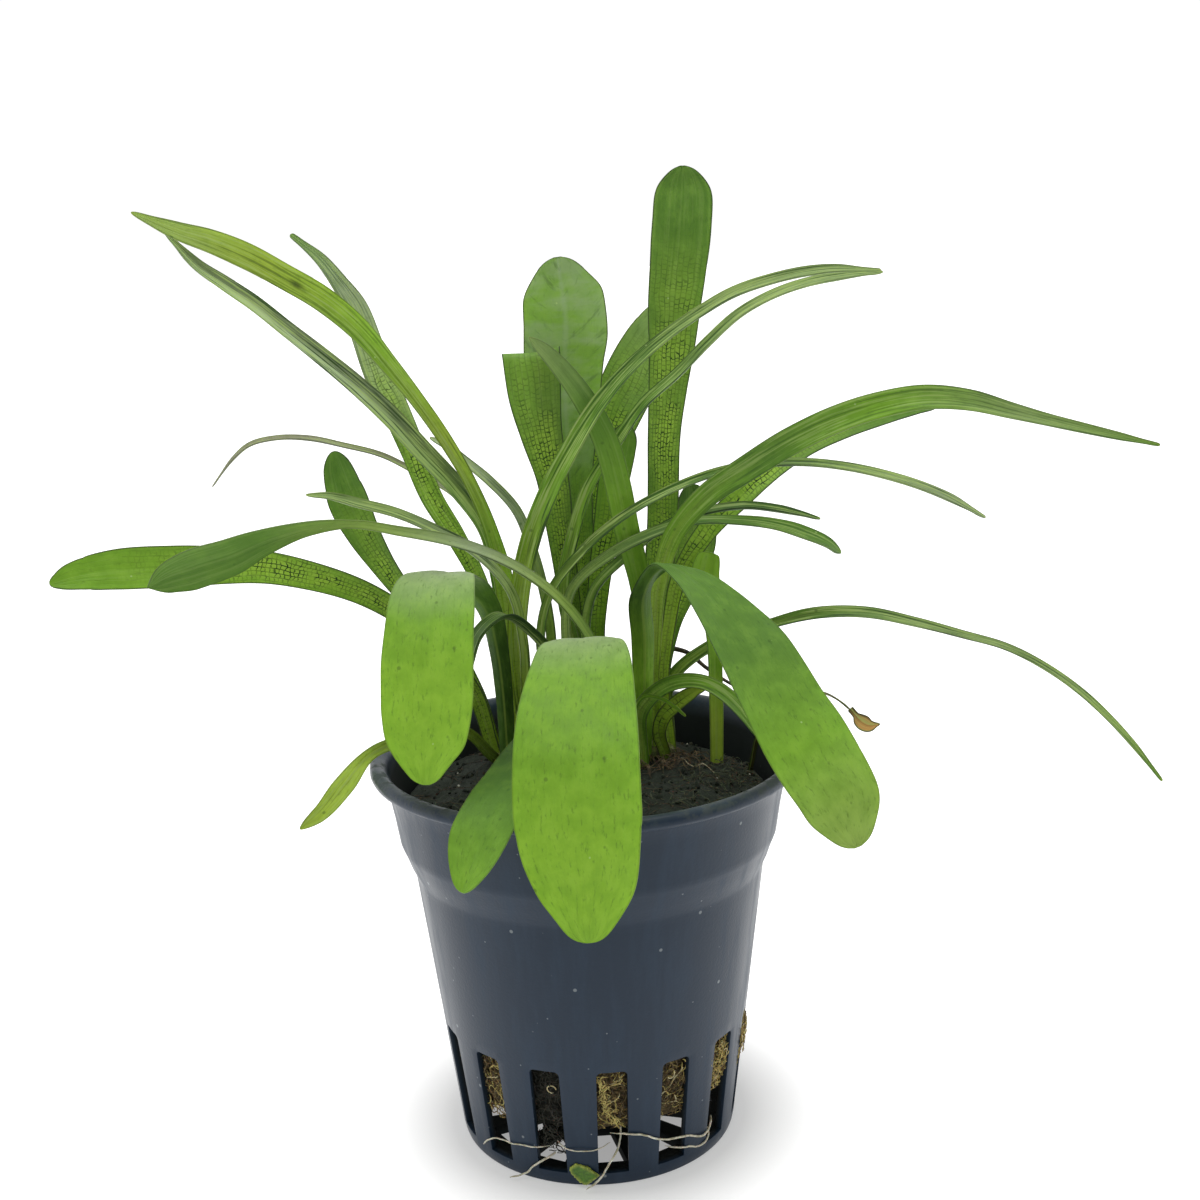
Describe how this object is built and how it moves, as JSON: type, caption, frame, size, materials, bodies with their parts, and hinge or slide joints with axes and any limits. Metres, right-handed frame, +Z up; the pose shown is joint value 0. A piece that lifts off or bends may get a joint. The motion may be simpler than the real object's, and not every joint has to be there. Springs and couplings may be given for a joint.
{
  "type": "potted aquatic plant",
  "caption": "Young strap-leaved aquatic plant with upright, arching and hanging green leaves, growing in a small dark round pot with slots round its foot.",
  "frame": {"origin": "middle of the pot's flat underside", "axes": "+Z up along the pot, -Y towards the side that the leaves hang over, +X to the right as seen from there"},
  "size_m": [0.1249, 0.0633, 0.1165],
  "materials": {
    "pot": "satin moulded polypropylene, dark slate blue",
    "growing_medium": "wet dark fibre and peat, golden fibre at the slots",
    "crown": "pale green living stem",
    "leaf_bright": "waxy living leaf, bright green",
    "leaf_upright": "waxy living leaf with a net of darker veins",
    "leaf_dark": "waxy living leaf, dark green",
    "leaf_pale": "waxy living leaf, light green with long stripes",
    "straw": "dry or olive old leaf",
    "root": "pale living root"
  },
  "bodies": {
    "root": {"pot": "pot", "growing_medium": "growing_medium", "crown_left": "crown", "crown_centre": "crown", "crown_right": "crown", "leaf_long_upper_left": "leaf_pale", "leaf_folded_upper_left": "leaf_dark", "leaf_netted_upper_left": "leaf_upright", "leaf_short_rounded_left": "leaf_dark", "leaf_far_left": "leaf_bright", "leaf_hanging_front_left": "leaf_bright", "leaf_over_left_rim": "leaf_pale", "leaf_long_arch_right": "leaf_pale", "leaf_grass_thin_left": "leaf_dark", "leaf_thin_low_left": "leaf_dark", "leaf_small_curl_left": "leaf_dark", "leaf_hanging_front_centre": "leaf_bright", "leaf_short_dark_arch": "leaf_dark", "leaf_small_front_low": "leaf_bright", "leaf_broad_upright": "leaf_upright", "leaf_folded_top": "leaf_upright", "leaf_broad_behind": "leaf_upright", "leaf_lower_arch_right": "leaf_pale", "leaf_dark_rounded": "leaf_dark", "leaf_long_narrow_right": "leaf_dark", "leaf_narrow_right": "leaf_dark", "leaf_thin_right": "leaf_dark", "leaf_twisted_strap_left": "leaf_dark", "leaf_plain_light": "leaf_pale", "leaf_tall_upright": "leaf_upright", "leaf_hanging_front_right": "leaf_bright", "leaf_big_arch_right": "leaf_upright", "leaf_netted_right": "leaf_upright", "leaf_dark_behind_right": "leaf_dark", "leaf_low_far_right": "leaf_dark", "leaf_low_dark_arch": "leaf_dark", "leaf_olive_stub": "straw", "leaf_upright_stalk_right": "leaf_bright", "stalk_thin_dark": "leaf_dark", "dead_stem": "straw", "dead_leaf_tip": "straw", "leaf_scrap": "leaf_bright", "root_right_long": "root", "root_right_short": "root", "root_front": "root", "root_bridge": "root", "root_left": "root", "root_left_low": "root"}
  },
  "joints": []
}
